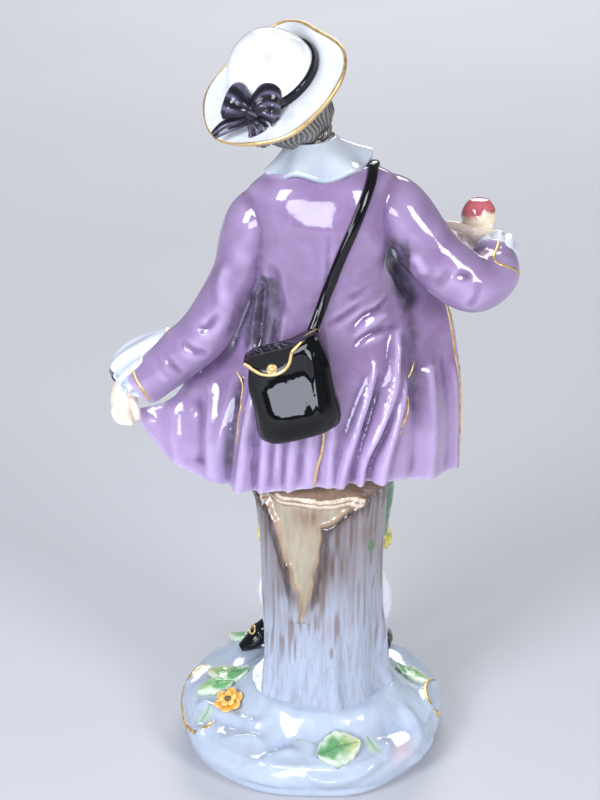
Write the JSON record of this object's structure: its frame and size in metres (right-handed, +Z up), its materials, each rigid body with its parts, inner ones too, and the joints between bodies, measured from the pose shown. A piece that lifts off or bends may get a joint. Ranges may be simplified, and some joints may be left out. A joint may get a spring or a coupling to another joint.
{
  "type": "porcelain figurine",
  "caption": "Glazed porcelain figurine of a gentleman in a lilac coat and wide hat with a satchel, leaning back on a tree stump on a round scroll base.",
  "frame": {"origin": "centre of the flat foot ring's plane, under the base", "axes": "+Z up; +Y the way the figure faces, so its back and the satchel are towards -Y; +X towards the figure's right hand"},
  "size_m": [0.0974, 0.0669, 0.1818],
  "materials": {
    "white_glaze": "clear glaze over white porcelain",
    "bark_glaze": "grey-brown brushwork under a clear glaze",
    "black_enamel": "glossy black enamel",
    "breeches_green": "glossy green enamel",
    "ribbon_yellow": "glossy yellow enamel",
    "lilac_enamel": "glossy lilac enamel",
    "flesh_glaze": "thin flesh-tone enamel on white glaze",
    "fruit_red": "red and cream enamel",
    "hair_grey": "grey enamel drawn with a fine dark brush",
    "bow_grey": "dark grey enamel with lilac lights",
    "gilding": "burnished gilding over glaze",
    "leaf_green": "green enamel that fades to white",
    "flower_orange": "orange-yellow enamel"
  },
  "bodies": {
    "root": {"base_mound": "white_glaze", "tree_stump": "bark_glaze", "shoe_left": "black_enamel", "shoe_right": "black_enamel", "stocking_left": "white_glaze", "stocking_right": "white_glaze", "breeches_left": "breeches_green", "breeches_right": "breeches_green", "garter_bow_left": "ribbon_yellow", "garter_bow_right": "ribbon_yellow", "torso_waistcoat": "white_glaze", "coat_body": "lilac_enamel", "coat_skirt_back": "lilac_enamel", "coat_skirt_left": "lilac_enamel", "coat_skirt_right": "lilac_enamel", "sleeve_left": "lilac_enamel", "sleeve_right": "lilac_enamel", "ruffle_left": "white_glaze", "ruffle_right": "white_glaze", "hand_left": "flesh_glaze", "hand_right": "flesh_glaze", "index_finger_right": "flesh_glaze", "fruit": "fruit_red", "head": "flesh_glaze", "collar": "white_glaze", "hair": "hair_grey", "hat_crown": "white_glaze", "hat_brim": "white_glaze", "hat_band": "black_enamel", "bow_knot": "bow_grey", "bow_loop_left": "bow_grey", "bow_loop_right": "bow_grey", "bow_tail_left": "bow_grey", "bow_tail_right": "bow_grey", "satchel_body": "black_enamel", "satchel_flap": "black_enamel", "satchel_button": "gilding", "shoulder_strap": "black_enamel", "leaf_left_upper": "leaf_green", "leaf_left_lower": "leaf_green", "leaf_near": "leaf_green", "leaf_far_left": "leaf_green", "leaf_right": "leaf_green", "flower_left": "flower_orange"}
  },
  "joints": []
}
